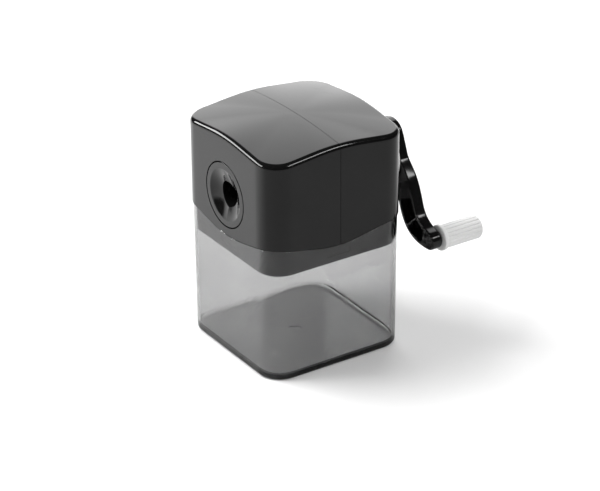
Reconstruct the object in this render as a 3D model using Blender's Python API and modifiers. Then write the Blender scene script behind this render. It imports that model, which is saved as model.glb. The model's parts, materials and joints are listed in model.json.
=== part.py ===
"""Desk pencil sharpener with a hand crank.

Metres, +Z up. The origin is the centre of the shavings bin's underside. The
pencil goes in at the front, which faces -Y, and the crank turns at the rear
about the pencil's axis. The head lifts off the bin.
"""
import math

import bmesh
import bpy
from mathutils import Matrix, Vector

MM = 0.001
GAP = 0.3 * MM

# Body: a rounded square in plan, the same on all four faces.
CASE_HALF = 37.0 * MM
CASE_CORNER = 12.0 * MM
CASE_WALL = 1.7 * MM
SEAM_GAP = 0.3 * MM
BIN_HALF_TOP = 36.5 * MM
BIN_HALF_BOTTOM = 36.1 * MM
BIN_WALL = 1.25 * MM
BIN_FLOOR = 2.0 * MM
BIN_EDGE = 1.8 * MM
BIN_FILLET = 3.0 * MM
SKIRT_HALF = 34.95 * MM
SKIRT_WALL = 1.8 * MM
SKIRT_BOTTOM = 52.2 * MM
SKIRT_TOP = 70.0 * MM
DECK_BOTTOM = 54.5 * MM
DECK_TOP = 56.5 * MM

# The edge between case and bin dips in the middle of each face, and the top
# edge of the case rises there.
EDGE_MIDDLE = 60.9 * MM
EDGE_RISE = 4.5 * MM
WALL_TOP_MIDDLE = 106.9 * MM
WALL_TOP_FALL = 2.5 * MM
TOP_FILLET = 2.7 * MM
FILLET_END = math.radians(80)
FILLET_STEPS = 4
DOME_RINGS = 4
DOME_TOP = 111.6 * MM
FLAT_STEPS = 3
CORNER_STEPS = 5
FAR = 60.0 * MM

# Pencil axis and what sits on it, as places along Y.
PENCIL_Z = 80.6 * MM
PENCIL_HOLE = 5.9 * MM
GUIDE_FRONT = -37.0 * MM
GUIDE_BACK = -31.0 * MM
GUIDE_RADIUS = 15.15 * MM
GUIDE_SEAT = 15.6 * MM
DISH_RADIUS = 12.3 * MM
DISH_DEPTH = 1.5 * MM
SCOOP_DEPTH = 1.2 * MM
SCOOPS = 2
RIDGE_ANGLE = math.radians(-87)
TUBE_RADIUS = 8.0 * MM
TUBE_END = -25.0 * MM
GUIDE_CLEARANCE = 0.4 * MM
OPENING_REACH = (30.0 * MM, 42.0 * MM)

# Planetary cutter: the cutter's axis leans so that its side cuts the cone.
CONE_ANGLE = math.radians(11.5)
CUTTER_RADIUS = 6.0 * MM
CONE_TIP = 5.5 * MM
CUTTER_FRONT = -19.3 * MM
CUTTER_REAR = 5.0 * MM
CUTTER_TEETH = 14
CUTTER_LAYERS = 9
CUTTER_TWIST = math.radians(125)
CUTTER_TOOTH = 0.9 * MM
PIN_RADIUS = 1.5 * MM
OVERRUN = 4.0 * MM
PINION_FRONT = -23.4 * MM
PINION_REAR = -19.6 * MM
PINION_TEETH = 12
RING_TEETH = 39
RING_RADIUS = 20.3 * MM
RING_BLANK_BORE = 15.0 * MM
RING_FRONT = -26.2 * MM
RING_REAR = -18.4 * MM
ADDENDUM = 0.6
DEDENDUM = 0.85
TOOTH_TIP = 0.12
TOOTH_ROOT = 0.24

# Mechanism frame, carrier and shaft.
FRAME_FRONT = -30.7 * MM
FRAME_WALL = 2.5 * MM
SEAT_RADIUS = 22.6 * MM
REAR_WALL_FRONT = 24.0 * MM
REAR_WALL_BACK = 27.0 * MM
REAR_WALL_RADIUS = 12.0 * MM
FRONT_BUSH_BACK = -24.9 * MM
BUSH_RADIUS = 6.0 * MM
BUSH_FLANGE_RADIUS = 8.0 * MM
BUSH_FLANGE = 2.2 * MM
BASE_HALF_X = 22.0 * MM
BASE_TOP = 58.4 * MM
FOOT_NARROWING = 4.0 * MM
FOOT_RISE = 8.0 * MM
CHUTE_X = 13.0 * MM
CHUTE_FRONT = -17.5 * MM
CHUTE_BACK = 18.0 * MM
CARRIER_RADIUS = 16.2 * MM
NOSE_FRONT = -27.6 * MM
NOSE_BACK = -25.1 * MM
NOSE_BORE = 9.9 * MM
TAIL_FRONT = 7.5 * MM
TAIL_BACK = 11.0 * MM
TAIL_RADIUS = 16.0 * MM
HUB_RADIUS = 6.5 * MM
HUB_BACK = 20.0 * MM
STRUT_WIDTH = 6.0 * MM
STRUT_THICKNESS = 2.6 * MM
STRUT_OUTSIDE = 14.9 * MM
STRUT_ANGLES = (20, 90, 160)
SHAFT_RADIUS = 3.0 * MM
SHAFT_FRONT = 12.0 * MM
SHAFT_BACK = 49.0 * MM
SHAFT_THREAD = 8.0 * MM
WASHER_RADIUS = 6.5 * MM
WASHER_THICKNESS = 0.8 * MM
CLIP_RADIUS = 5.2 * MM
CLIP_THICKNESS = 1.0 * MM

# Collar, crank and knob.
COLLAR_RADIUS = 16.8 * MM
COLLAR_FRONT = 37.3 * MM
COLLAR_BACK = 46.5 * MM
SPIGOT_RADIUS = 7.9 * MM
SPIGOT_FRONT = 33.5 * MM
CRANK_FRONT = 46.8 * MM
CRANK_BACK = 52.3 * MM
CRANK_ROUND = 1.4 * MM
ARM_STEP = 0.1 * MM
HUB_HALF = 14.9 * MM
HUB_CORNER = 8.5 * MM
HUB_TURN = math.radians(22)
CRANK_SKIN = 2.2 * MM
RIM_WIDTH = 1.8 * MM
UPPER_POCKET = (0.26, 0.54)
LOWER_POCKET = (0.58, 0.86)
SCREW_RECESS_RADIUS = 3.6 * MM
SCREW_RECESS_DEPTH = 1.9 * MM
# Middle line of the arm from the hub to the knob, and half its width there.
ARM_LINE = ((6, -2, 9), (16.2, -9.1, 6.9), (20.1, -15.6, 6.5), (22.1, -20.9, 6.4), (24.2, -24.7, 6.4),
            (27, -27.5, 6.2), (30.8, -29.4, 5.7), (34.6, -30.4, 5.0), (38.3, -30.8, 4.5))
KNOB_X = 38.3 * MM
KNOB_DROP = 30.8 * MM
KNOB_FRONT = 52.6 * MM
KNOB_FLANGE_BACK = 54.4 * MM
KNOB_BACK = 74.5 * MM
KNOB_RADIUS = 5.5 * MM
KNOB_FLANGE = 6.1 * MM
KNOB_ROUND = 1.2 * MM
FLUTES = 18
FLUTE_DEPTH = 0.25 * MM
KNOB_CAP = 2.5 * MM
KNOB_PIN_RADIUS = 1.6 * MM
PIN_HEAD_RADIUS = 2.6 * MM
PIN_HEAD_FRONT = 0.2 * MM
PIN_HEAD_BACK = 1.1 * MM

# Screws.
CASE_SCREW_AT = 27.0 * MM
FRAME_SCREW_X = 18.5 * MM
FRAME_SCREW_Y = 13.0 * MM
SHANK_RADIUS = 1.3 * MM
HOLE_RADIUS = 1.6 * MM
HEAD_RADIUS = 2.7 * MM
HEAD_HEIGHT = 1.7 * MM
SLOT_HALF = 0.35 * MM
SLOT_DEPTH = 0.8 * MM
HEAD_TAPER = 0.8
CASE_SCREW_LENGTH = 9.0 * MM
FRAME_SCREW_LENGTH = 4.0 * MM
CRANK_SCREW_LENGTH = 6.0 * MM
POST_RADIUS = 3.3 * MM
POST_TOP = 106.9 * MM
POST_HOLE = 12.0 * MM
CATCH_HALF = 6.1 * MM
CATCH_BOTTOM = 55.4 * MM
CATCH_TOP = 57.6 * MM
CATCH_DEPTH = 0.5 * MM

UP = Vector((0, 0, 1))
CUTTER_AXIS = Vector((0, math.cos(CONE_ANGLE), math.sin(CONE_ANGLE)))


def clear_scene():
    for item in list(bpy.data.objects):
        bpy.data.objects.remove(item, do_unlink=True)


def new_collection(name):
    collection = bpy.data.collections.new(name)
    bpy.context.scene.collection.children.link(collection)
    return collection


clear_scene()
PARTS = new_collection("pencil_sharpener")
TOOLS = new_collection("cutters")


def material(name, colour, roughness, metallic=0.0, alpha=1.0):
    finish = bpy.data.materials.new(name)
    finish.use_nodes = True
    shader = finish.node_tree.nodes["Principled BSDF"]
    shader.inputs["Base Color"].default_value = (*colour, 1.0)
    shader.inputs["Roughness"].default_value = roughness
    shader.inputs["Metallic"].default_value = metallic
    shader.inputs["Alpha"].default_value = alpha
    return finish


def add_object(name, mesh, finish=None):
    """A piece with a finish is a part; without one it is a cutter or a shape to join."""
    item = bpy.data.objects.new(name, mesh)
    if finish is None:
        TOOLS.objects.link(item)
        item.hide_render = True
        item.display_type = "WIRE"
    else:
        PARTS.objects.link(item)
        mesh.materials.append(finish)
    return item


def finish_mesh(bm, name, finish, smooth=True):
    bmesh.ops.recalc_face_normals(bm, faces=bm.faces)
    mesh = bpy.data.meshes.new(name)
    bm.to_mesh(mesh)
    bm.free()
    if smooth:
        mesh.shade_smooth()
        mesh.set_sharp_from_angle(angle=math.radians(35))
    return add_object(name, mesh, finish)


def loft(name, loops, finish=None, ends="capped"):
    """Skin closed loops of equal length. ends is capped, last, or joined (a ring)."""
    bm = bmesh.new()
    rings = [[bm.verts.new(point) for point in loop] for loop in loops]
    pairs = list(zip(rings, rings[1:]))
    if ends == "joined":
        pairs.append((rings[-1], rings[0]))
    for lower, upper in pairs:
        for i in range(len(lower)):
            j = (i + 1) % len(lower)
            bm.faces.new((lower[i], lower[j], upper[j], upper[i]))
    if ends == "capped":
        bm.faces.new(reversed(rings[0]))
    if ends in ("capped", "last"):
        cap = bm.faces.new(rings[-1])
    if ends == "last":
        bmesh.ops.poke(bm, faces=[cap])
    return finish_mesh(bm, name, finish)


def box(name, low, high, finish=None):
    bm = bmesh.new()
    bmesh.ops.create_cube(bm, size=1.0)
    low, high = Vector(low), Vector(high)
    bmesh.ops.scale(bm, vec=high - low, verts=bm.verts)
    bmesh.ops.translate(bm, vec=(low + high) / 2, verts=bm.verts)
    return finish_mesh(bm, name, finish, smooth=False)


def rod(name, radius, start, end, finish=None, segments=16):
    """A plain cylinder between two points."""
    start, end = Vector(start), Vector(end)
    run = end - start
    bm = bmesh.new()
    bmesh.ops.create_cone(bm, cap_ends=True, segments=segments, radius1=radius, radius2=radius,
                          depth=run.length)
    turn = UP.rotation_difference(run).to_matrix().to_4x4()
    bmesh.ops.transform(bm, matrix=Matrix.Translation((start + end) / 2) @ turn, verts=bm.verts)
    return finish_mesh(bm, name, finish)


def turned(name, profile, finish=None, segments=28, closed=False, centre=(0, 0, PENCIL_Z)):
    """Turn (radius, y) points about an axis along Y. They run from high y to low y on the outside."""
    mesh = bpy.data.meshes.new(name)
    count = len(profile)
    edges = [(i, i + 1) for i in range(count - 1)]
    if closed:
        edges.append((count - 1, 0))
    mesh.from_pydata([(radius, 0, y) for radius, y in profile], edges, [])
    item = add_object(name, mesh, finish)
    item.location = centre
    item.rotation_euler = (math.radians(-90), 0, 0)
    screw = item.modifiers.new("turn", "SCREW")
    screw.steps = segments
    screw.render_steps = segments
    screw.use_merge_vertices = True
    screw.merge_threshold = 0.00001
    screw.use_smooth_shade = True
    return item


def ring(name, inner, outer, front, back, finish=None, segments=24):
    return turned(name, [(outer, back), (outer, front), (inner, front), (inner, back)],
                  finish, segments, closed=True)


def boolean(target, operation, tools):
    for tool in tools:
        step = target.modifiers.new(f"{operation.lower()}_{tool.name}", "BOOLEAN")
        step.operation = operation
        step.solver = "EXACT"
        step.object = tool
    return target


def cut(target, *tools):
    return boolean(target, "DIFFERENCE", tools)


def join(target, *tools):
    return boolean(target, "UNION", tools)


def on_axis(radius, angle, y):
    return (radius * math.cos(angle), y, PENCIL_Z + radius * math.sin(angle))


def axis_point(y):
    """A point on the pencil's axis."""
    return (0, y, PENCIL_Z)


def circle(radius, y, count, start=0.0):
    return [on_axis(radius, start + 2 * math.pi * i / count, y) for i in range(count)]


def wave(place):
    """0 in the middle of a face, 1 at the middle of a corner."""
    return (1 - math.cos(math.pi * place)) / 2


def square_loop(half, corner, height):
    """Rounded square. height gives z from the place along the face, 0 to 1."""
    flat = half - corner
    reach = flat + corner * math.pi / 4
    local = [(half, flat * i / FLAT_STEPS, flat * i / FLAT_STEPS) for i in range(FLAT_STEPS)]
    for i in range(CORNER_STEPS + 1):
        angle = math.pi / 2 * i / CORNER_STEPS
        run = flat + corner * min(angle, math.pi / 2 - angle)
        local.append((flat + corner * math.cos(angle), flat + corner * math.sin(angle), run))
    local += [(y, x, run) for x, y, run in reversed(local[1:FLAT_STEPS])]
    points = []
    for quarter in range(4):
        turn = Matrix.Rotation(quarter * math.pi / 2, 3, "Z")
        points += [turn @ Vector((x, y, height(run / reach))) for x, y, run in local]
    return points


def level(z):
    return lambda place: z


def edge_height(offset):
    return lambda place: EDGE_MIDDLE + EDGE_RISE * wave(place) + offset


def smoke_finish(name):
    return material(name, (0.25, 0.25, 0.26), 0.05, alpha=0.35)


def make_bin():
    corner = CASE_CORNER - (CASE_HALF - BIN_HALF_TOP)
    low, wall = BIN_HALF_BOTTOM, BIN_WALL

    def rounding(radius, start):
        """(inset, height) pairs up a quarter circle, from the floor to the wall."""
        return [(start + radius * (1 - math.sin(a)), radius * (1 - math.cos(a)))
                for a in (0, math.pi / 6, math.pi / 3, math.pi / 2)]

    loops = [square_loop(low - inset, corner - inset, level(z)) for inset, z in rounding(BIN_EDGE, 0)]
    loops.append(square_loop(BIN_HALF_TOP, corner, edge_height(-GAP)))
    loops.append(square_loop(BIN_HALF_TOP - wall, corner - wall, edge_height(-GAP)))
    for inset, z in reversed(rounding(BIN_FILLET, wall)):
        loops.append(square_loop(low - inset, corner - inset, level(BIN_FLOOR + z)))
    loft("shavings_bin", loops, smoke_finish("bin_plastic"))


def make_base_frame(finish):
    corner = CASE_CORNER - (CASE_HALF - SKIRT_HALF)
    inner, inner_corner = SKIRT_HALF - SKIRT_WALL, corner - SKIRT_WALL
    frame = loft("base_frame", [
        square_loop(inner, inner_corner, level(DECK_BOTTOM)),
        square_loop(inner, inner_corner, level(SKIRT_BOTTOM)),
        square_loop(SKIRT_HALF, corner, level(SKIRT_BOTTOM)),
        square_loop(SKIRT_HALF, corner, level(SKIRT_TOP)),
        square_loop(inner, inner_corner, level(SKIRT_TOP)),
        square_loop(inner, inner_corner, level(DECK_TOP))], finish)
    cut(frame, box("chute_in_deck", (-CHUTE_X, CHUTE_FRONT, DECK_BOTTOM - MM),
                   (CHUTE_X, CHUTE_BACK, DECK_TOP + MM)))
    cut(frame, rod("guide_relief", GUIDE_SEAT, axis_point(-SKIRT_HALF - MM), axis_point(GUIDE_BACK),
                   segments=32))
    for use, places in (("case", corner_places(CASE_SCREW_AT, CASE_SCREW_AT)),
                        ("frame", corner_places(FRAME_SCREW_X, FRAME_SCREW_Y))):
        for name, x, y in places:
            cut(frame, rod(f"deck_hole_{use}_{name}", HOLE_RADIUS,
                           (x, y, DECK_BOTTOM - MM), (x, y, DECK_TOP + MM)))
    reach = SKIRT_HALF + MM
    depth = SKIRT_HALF - CATCH_DEPTH
    for quarter in range(4):
        catch = box(f"catch_{quarter}", (-CATCH_HALF, -reach, CATCH_BOTTOM), (CATCH_HALF, -depth, CATCH_TOP))
        catch.rotation_euler = (0, 0, quarter * math.pi / 2)
        cut(frame, catch)


def corner_places(x, y):
    return (("front_left", -x, -y), ("front_right", x, -y), ("rear_left", -x, y), ("rear_right", x, y))


def case_skin(name, finish):
    """The outer skin of the whole case, open at the bottom."""
    loops = [square_loop(CASE_HALF, CASE_CORNER, edge_height(0))]

    def wall_top(rise):
        return lambda place: WALL_TOP_MIDDLE - WALL_TOP_FALL * wave(place) + rise

    for i in range(FILLET_STEPS + 1):
        angle = FILLET_END * i / FILLET_STEPS
        inset = TOP_FILLET * (1 - math.cos(angle))
        rise = TOP_FILLET * math.sin(angle)
        loops.append(square_loop(CASE_HALF - inset, CASE_CORNER - inset, wall_top(rise)))
    for i in range(1, DOME_RINGS):
        part = i / DOME_RINGS
        share = 1 - (1 - part) ** 2

        def dome(place, share=share):
            return wall_top(rise)(place) * (1 - share) + DOME_TOP * share

        loops.append(square_loop((CASE_HALF - inset) * (1 - part), (CASE_CORNER - inset) * (1 - part), dome))
    skin = loft(name, loops, finish, ends="last")
    shell = skin.modifiers.new("shell", "SOLIDIFY")
    shell.thickness = CASE_WALL
    shell.offset = -1
    shell.use_even_offset = True
    return skin


def make_case(name, side, finish):
    """side is -1 for the front shell and 1 for the rear one."""
    shell = case_skin(f"{name}_case", finish)
    reach = sorted((side * SEAM_GAP / 2, -side * FAR))
    cut(shell, box(f"other_half_of_{name}", (-FAR, reach[0], 0), (FAR, reach[1], 2 * FAR)))
    for hand, x in (("left", -CASE_SCREW_AT), ("right", CASE_SCREW_AT)):
        y = side * CASE_SCREW_AT
        join(shell, rod(f"post_{name}_{hand}", POST_RADIUS, (x, y, DECK_TOP + GAP), (x, y, POST_TOP)))
        cut(shell, rod(f"post_hole_{name}_{hand}", HOLE_RADIUS,
                       (x, y, DECK_TOP), (x, y, DECK_TOP + POST_HOLE)))
    hole = GUIDE_SEAT if side < 0 else SPIGOT_RADIUS + GAP
    inside, outside = sorted(side * y for y in OPENING_REACH)
    cut(shell, rod(f"opening_{name}", hole, axis_point(inside), axis_point(outside), segments=48))


def dish_loop(part, count):
    """A loop of the scooped dish: part runs from 0 at the rim to 1 at the pencil hole."""
    radius = DISH_RADIUS + (PENCIL_HOLE - DISH_RADIUS) * part
    points = []
    for i in range(count):
        lobe = (i * SCOOPS / count) % 1 * 2 - 1
        depth = DISH_DEPTH * part + SCOOP_DEPTH * (1 - lobe ** 2) * math.sin(part * math.pi / 2)
        points.append(on_axis(radius, RIDGE_ANGLE + 2 * math.pi * i / count, GUIDE_FRONT + depth))
    return points


def make_pencil_guide(finish):
    count = 48
    edge = 0.3 * MM

    def plain(radius, y):
        return circle(radius, y, count, RIDGE_ANGLE)

    loops = [plain(GUIDE_RADIUS - edge, GUIDE_FRONT), plain(GUIDE_RADIUS, GUIDE_FRONT + edge),
             plain(GUIDE_RADIUS, GUIDE_BACK), plain(TUBE_RADIUS, GUIDE_BACK),
             plain(TUBE_RADIUS, TUBE_END), plain(PENCIL_HOLE, TUBE_END)]
    loops += [dish_loop(part, count) for part in (1.0, 0.66, 0.33, 0.0)]
    loft("pencil_guide", loops, finish, ends="joined")


def axis_distance(y):
    """Distance of the cutter's axis from the pencil's axis at a place along Y."""
    return CUTTER_RADIUS / math.cos(CONE_ANGLE) + (CONE_TIP - y) * math.tan(CONE_ANGLE)


def cutter_point(y):
    return Vector((0, y, PENCIL_Z - axis_distance(y)))


MODULE = 2 * axis_distance((PINION_FRONT + PINION_REAR) / 2) / (RING_TEETH - PINION_TEETH)


def tooth_outline(teeth, tip, root, phase):
    """(radius, angle) pairs round a gear whose first tooth stands at the phase angle."""
    pitch = 2 * math.pi / teeth
    outline = []
    for tooth in range(teeth):
        middle = phase + tooth * pitch
        for radius, offset in ((root, -TOOTH_ROOT), (tip, -TOOTH_TIP), (tip, TOOTH_TIP), (root, TOOTH_ROOT)):
            outline.append((radius, middle + offset * pitch))
    return outline


def make_ring_gear(finish):
    """Fixed gear with inner teeth that widen towards the front, to suit the leaning pinion."""
    gear = ring("ring_gear", RING_BLANK_BORE, RING_RADIUS, RING_FRONT, RING_REAR, finish, segments=40)
    gap_below = -math.pi / 2 + math.pi / RING_TEETH
    loops = []
    for y in (RING_FRONT - MM, RING_REAR + MM):
        pitch_radius = axis_distance(y) + MODULE * PINION_TEETH / 2 / math.cos(CONE_ANGLE)
        outline = tooth_outline(RING_TEETH, pitch_radius - ADDENDUM * MODULE,
                                pitch_radius + DEDENDUM * MODULE, gap_below)
        loops.append([on_axis(radius, angle, y) for radius, angle in outline])
    cut(gear, loft("ring_gear_teeth", loops))


def leaning_loop(outline, y, turn=0.0):
    """Place (radius, angle) pairs square to the cutter's axis."""
    centre = cutter_point(y)
    across = Vector((1, 0, 0))
    upward = across.cross(CUTTER_AXIS)
    return [centre + across * radius * math.cos(angle + turn) + upward * radius * math.sin(angle + turn)
            for radius, angle in outline]


def make_cutter(finish):
    outline = []
    for tooth in range(CUTTER_TEETH):
        start = 2 * math.pi * tooth / CUTTER_TEETH
        step = 2 * math.pi / CUTTER_TEETH
        outline += [(CUTTER_RADIUS, start), (CUTTER_RADIUS - CUTTER_TOOTH, start + 0.2 * step),
                    (CUTTER_RADIUS - 0.7 * CUTTER_TOOTH, start + 0.7 * step)]
    loops = []
    for layer in range(CUTTER_LAYERS + 1):
        part = layer / CUTTER_LAYERS
        y = CUTTER_FRONT + (CUTTER_REAR - CUTTER_FRONT) * part
        loops.append(leaning_loop(outline, y, CUTTER_TWIST * part))
    cutter = loft("cutter", loops, finish)
    cut(cutter, leaning_rod("cutter_bore", PIN_RADIUS + GAP, CUTTER_FRONT - OVERRUN, CUTTER_REAR + OVERRUN))


def leaning_rod(name, radius, front, back, finish=None):
    return rod(name, radius, cutter_point(front), cutter_point(back), finish)


def make_pinion(finish):
    pitch_radius = MODULE * PINION_TEETH / 2
    outline = tooth_outline(PINION_TEETH, pitch_radius + ADDENDUM * MODULE,
                            pitch_radius - DEDENDUM * MODULE, -math.pi / 2)
    pinion = loft("cutter_pinion", [leaning_loop(outline, PINION_FRONT), leaning_loop(outline, PINION_REAR)],
                  finish)
    cut(pinion, leaning_rod("pinion_bore", PIN_RADIUS + GAP, PINION_FRONT - OVERRUN, PINION_REAR + OVERRUN))


def make_mechanism_frame(finish):
    back = RING_REAR
    frame = box("mechanism_frame", (-BASE_HALF_X, FRAME_FRONT, DECK_TOP + GAP),
                (BASE_HALF_X, REAR_WALL_BACK, BASE_TOP), finish)
    join(frame,
         box("front_foot", (-BASE_HALF_X + FOOT_NARROWING, FRAME_FRONT, DECK_TOP + 2 * GAP),
             (BASE_HALF_X - FOOT_NARROWING, back, BASE_TOP + FOOT_RISE)),
         rod("ring_seat", SEAT_RADIUS, axis_point(FRAME_FRONT), axis_point(back), segments=40),
         box("rear_wall", (-REAR_WALL_RADIUS, REAR_WALL_FRONT, BASE_TOP - MM),
             (REAR_WALL_RADIUS, REAR_WALL_BACK, PENCIL_Z)),
         rod("rear_eye", REAR_WALL_RADIUS, axis_point(REAR_WALL_FRONT), axis_point(REAR_WALL_BACK),
             segments=28))
    cut(frame,
        rod("ring_bore", RING_RADIUS + GAP, axis_point(FRAME_FRONT + FRAME_WALL), axis_point(back + MM),
            segments=40),
        rod("guide_bore", TUBE_RADIUS + GUIDE_CLEARANCE, axis_point(FRAME_FRONT - MM),
            axis_point(FRAME_FRONT + 2 * FRAME_WALL), segments=28),
        rod("bearing_bore", BUSH_RADIUS + GAP, axis_point(REAR_WALL_FRONT - MM),
            axis_point(REAR_WALL_BACK + MM), segments=24),
        box("chute_in_frame", (-CHUTE_X, CHUTE_FRONT, DECK_TOP), (CHUTE_X, CHUTE_BACK, BASE_TOP + MM)))
    for name, x, y in corner_places(FRAME_SCREW_X, FRAME_SCREW_Y):
        cut(frame, rod(f"frame_hole_{name}", HOLE_RADIUS, (x, y, DECK_TOP), (x, y, BASE_TOP + MM)))


def make_bushes(finish):
    ring("front_bush", TUBE_RADIUS + GAP, NOSE_BORE - GAP, FRAME_FRONT + FRAME_WALL + GAP,
         FRONT_BUSH_BACK, finish)
    bore, back = SHAFT_RADIUS + GAP, REAR_WALL_BACK + GAP
    flange_back = REAR_WALL_FRONT - GAP
    flange_front = flange_back - BUSH_FLANGE
    turned("rear_bush", [(BUSH_RADIUS, back), (BUSH_RADIUS, flange_back), (BUSH_FLANGE_RADIUS, flange_back),
                         (BUSH_FLANGE_RADIUS, flange_front), (bore, flange_front), (bore, back)],
           finish, closed=True)


def make_carrier(finish):
    carrier = ring("cutter_carrier", NOSE_BORE, CARRIER_RADIUS, NOSE_FRONT, NOSE_BACK, finish, segments=32)
    middle = STRUT_OUTSIDE - STRUT_THICKNESS / 2
    for index, degrees in enumerate(STRUT_ANGLES):
        strut = box(f"strut_{index}", (middle - STRUT_THICKNESS / 2, NOSE_BACK - MM, -STRUT_WIDTH / 2),
                    (middle + STRUT_THICKNESS / 2, TAIL_FRONT + MM, STRUT_WIDTH / 2))
        strut.location = (0, 0, PENCIL_Z)
        strut.rotation_euler = (0, -math.radians(degrees), 0)
        join(carrier, strut)
    join(carrier,
         rod("tail_plate", TAIL_RADIUS, axis_point(TAIL_FRONT), axis_point(TAIL_BACK), segments=32),
         rod("tail_hub", HUB_RADIUS, axis_point(TAIL_BACK - MM), axis_point(HUB_BACK), segments=20))
    cut(carrier,
        rod("shaft_socket", SHAFT_RADIUS + GAP, axis_point(SHAFT_FRONT - GAP), axis_point(HUB_BACK + MM)),
        leaning_rod("pin_bore", PIN_RADIUS + GAP, NOSE_FRONT - OVERRUN, TAIL_BACK + OVERRUN))


def make_shaft(finish):
    shaft = rod("crank_shaft", SHAFT_RADIUS, axis_point(SHAFT_FRONT), axis_point(SHAFT_BACK), finish)
    cut(shaft, rod("shaft_thread", HOLE_RADIUS, axis_point(SHAFT_BACK - SHAFT_THREAD),
                   axis_point(SHAFT_BACK + MM)))


def make_shaft_rings(finish):
    """The washer between carrier and rear bush, and the clip behind the bush."""
    bore = SHAFT_RADIUS + GAP
    washer_front, clip_front = HUB_BACK + GAP, REAR_WALL_BACK + MM
    ring("thrust_washer", bore, WASHER_RADIUS, washer_front, washer_front + WASHER_THICKNESS, finish)
    ring("shaft_clip", bore, CLIP_RADIUS, clip_front, clip_front + CLIP_THICKNESS, finish)


def make_collar(finish):
    bore = SHAFT_RADIUS + GAP
    edge = 0.5 * MM
    turned("rear_collar", [(COLLAR_RADIUS - edge, COLLAR_BACK), (COLLAR_RADIUS, COLLAR_BACK - edge),
                           (COLLAR_RADIUS, COLLAR_FRONT), (SPIGOT_RADIUS, COLLAR_FRONT),
                           (SPIGOT_RADIUS, SPIGOT_FRONT), (bore, SPIGOT_FRONT), (bore, COLLAR_BACK)],
           finish, segments=40, closed=True)


def smooth_line(points, steps):
    """Catmull-Rom curve through the points."""
    padded = [points[0]] + list(points) + [points[-1]]
    curve = []
    for a, b, c, d in zip(padded, padded[1:], padded[2:], padded[3:]):
        for i in range(steps):
            t = i / steps
            curve.append(tuple(0.5 * (2 * q + (r - p) * t + (2 * p - 5 * q + 4 * r - s) * t ** 2
                                      + (3 * q - p - 3 * r + s) * t ** 3) for p, q, r, s in zip(a, b, c, d)))
    curve.append(points[-1])
    return curve


def arm_band(start, end, margin, round_end):
    """Outline of a stretch of the arm, drawn in by a margin. start and end are parts of its length."""
    line = smooth_line(ARM_LINE, 2)
    last = len(line) - 1
    first, final = round(start * last), round(end * last)
    right, left = [], []
    for i in range(first, final + 1):
        ahead, behind = line[min(i + 1, last)], line[max(i - 1, 0)]
        along = Vector((ahead[0] - behind[0], ahead[1] - behind[1])).normalized()
        side = Vector((-along.y, along.x)) * (line[i][2] * MM - margin)
        middle = Vector(line[i][:2]) * MM
        left.append(middle + side)
        right.append(middle - side)
    cap = []
    if round_end:
        heading = math.atan2(along.y, along.x)
        reach = side.length
        cap = [middle + reach * Vector((math.cos(heading + a), math.sin(heading + a)))
               for a in (math.radians(60 - 30 * step) for step in range(5))]
    return left + cap + list(reversed(right))


def plate(name, outline, front, back, finish=None):
    loops = [[(point.x, y, PENCIL_Z + point.y) for point in outline] for y in (front, back)]
    return loft(name, loops, finish)


def hub_loop(inset, y):
    """The crank's hub is a rounded square, turned so that one side runs on into the arm."""
    flat = HUB_HALF - HUB_CORNER
    corner = math.hypot(flat, flat)
    radius = HUB_CORNER - inset
    steps = 6
    points = []
    for quarter in range(4):
        turn = HUB_TURN + math.pi / 2 * quarter
        x, _, z = on_axis(corner, turn + math.pi / 4, y)
        for i in range(steps + 1):
            angle = turn + math.pi / 2 * i / steps
            points.append((x + radius * math.cos(angle), y, z + radius * math.sin(angle)))
    return points


def make_crank(finish):
    front, back = CRANK_FRONT, CRANK_BACK
    loops = [hub_loop(0, front)]
    for angle in (0, math.pi / 6, math.pi / 3, math.pi / 2):
        inset, rise = CRANK_ROUND * (1 - math.cos(angle)), CRANK_ROUND * (1 - math.sin(angle))
        loops.append(hub_loop(inset, back - rise))
    arm = loft("crank_arm", loops, finish)
    join(arm, plate("arm_blank", arm_band(0, 1, 0, True), front + ARM_STEP, back - ARM_STEP))
    depth = back - CRANK_SKIN
    cut(arm,
        plate("upper_pocket", arm_band(*UPPER_POCKET, RIM_WIDTH, False), front - MM, depth),
        plate("lower_pocket", arm_band(*LOWER_POCKET, RIM_WIDTH, False), front - MM, depth),
        rod("pin_head_recess", PIN_HEAD_RADIUS + GAP, knob_point(front - MM),
            knob_point(front + PIN_HEAD_BACK + GAP)),
        rod("pin_hole", KNOB_PIN_RADIUS + GAP, knob_point(front), knob_point(back + MM)),
        rod("shaft_bore", SHAFT_RADIUS + GAP, axis_point(front - MM), axis_point(SHAFT_BACK + GAP)),
        rod("screw_hole", HOLE_RADIUS, axis_point(SHAFT_BACK), axis_point(back + MM)),
        rod("screw_recess", SCREW_RECESS_RADIUS, axis_point(back - SCREW_RECESS_DEPTH),
            axis_point(back + MM)))


def knob_point(y):
    """A point on the knob's axis."""
    return (KNOB_X, y, PENCIL_Z - KNOB_DROP)


def flute_loop(radius, depth, y):
    points = []
    for flute in range(FLUTES):
        for inward, offset in ((0, -0.25), (0, 0.25), (depth, 0.5)):
            angle = 2 * math.pi * (flute + offset) / FLUTES
            x, _, z = on_axis(radius - inward, angle, y)
            points.append((x + KNOB_X, y, z - KNOB_DROP))
    return points


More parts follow.
